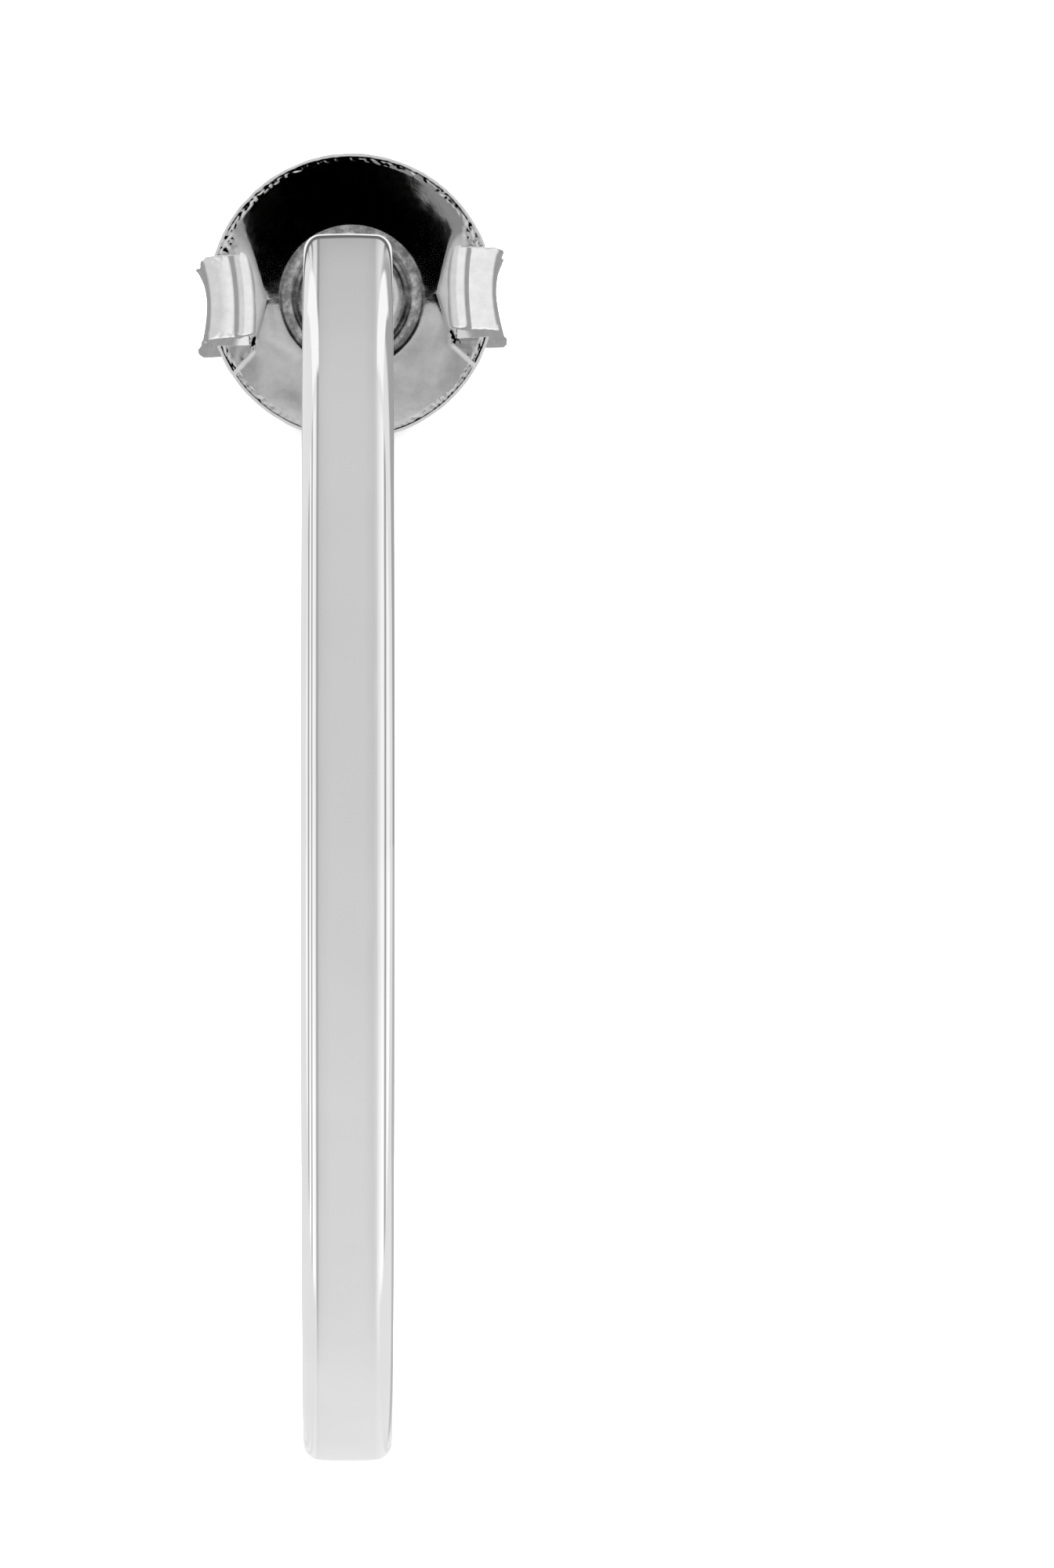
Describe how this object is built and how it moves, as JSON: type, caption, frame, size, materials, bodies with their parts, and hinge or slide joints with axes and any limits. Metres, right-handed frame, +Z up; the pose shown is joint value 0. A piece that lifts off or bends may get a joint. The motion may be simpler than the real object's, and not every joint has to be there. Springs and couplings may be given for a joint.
{
  "type": "half hoop earring",
  "caption": "Half hoop earring of polished square silver bar with a straight post and a push-on butterfly clutch with a round disc.",
  "frame": {"origin": "middle of the footprint on the table, with the earring standing by itself as an arch on the tip of its bar and the two scrolls of its clutch", "axes": "+Z up; +Y along the table from the bar's free tip to the clutch; +X across the bar, to the wearer's left when the earring is seen from the front"},
  "size_m": [0.0066, 0.0282, 0.0169],
  "materials": {
    "polished_silver": "mirror-polished sterling silver",
    "stamped_silver": "bright stamped sterling silver sheet with a rough-cut edge"
  },
  "bodies": {
    "earring": {"half_hoop": "polished_silver"},
    "clutch": {"butterfly_clutch": "stamped_silver"}
  },
  "joints": [
    {"name": "clutch_slide", "type": "slide", "parent": "earring", "child": "clutch", "axis": [0, 0.3588, -0.9334], "range_m": [-0.005, 0.012]}
  ]
}
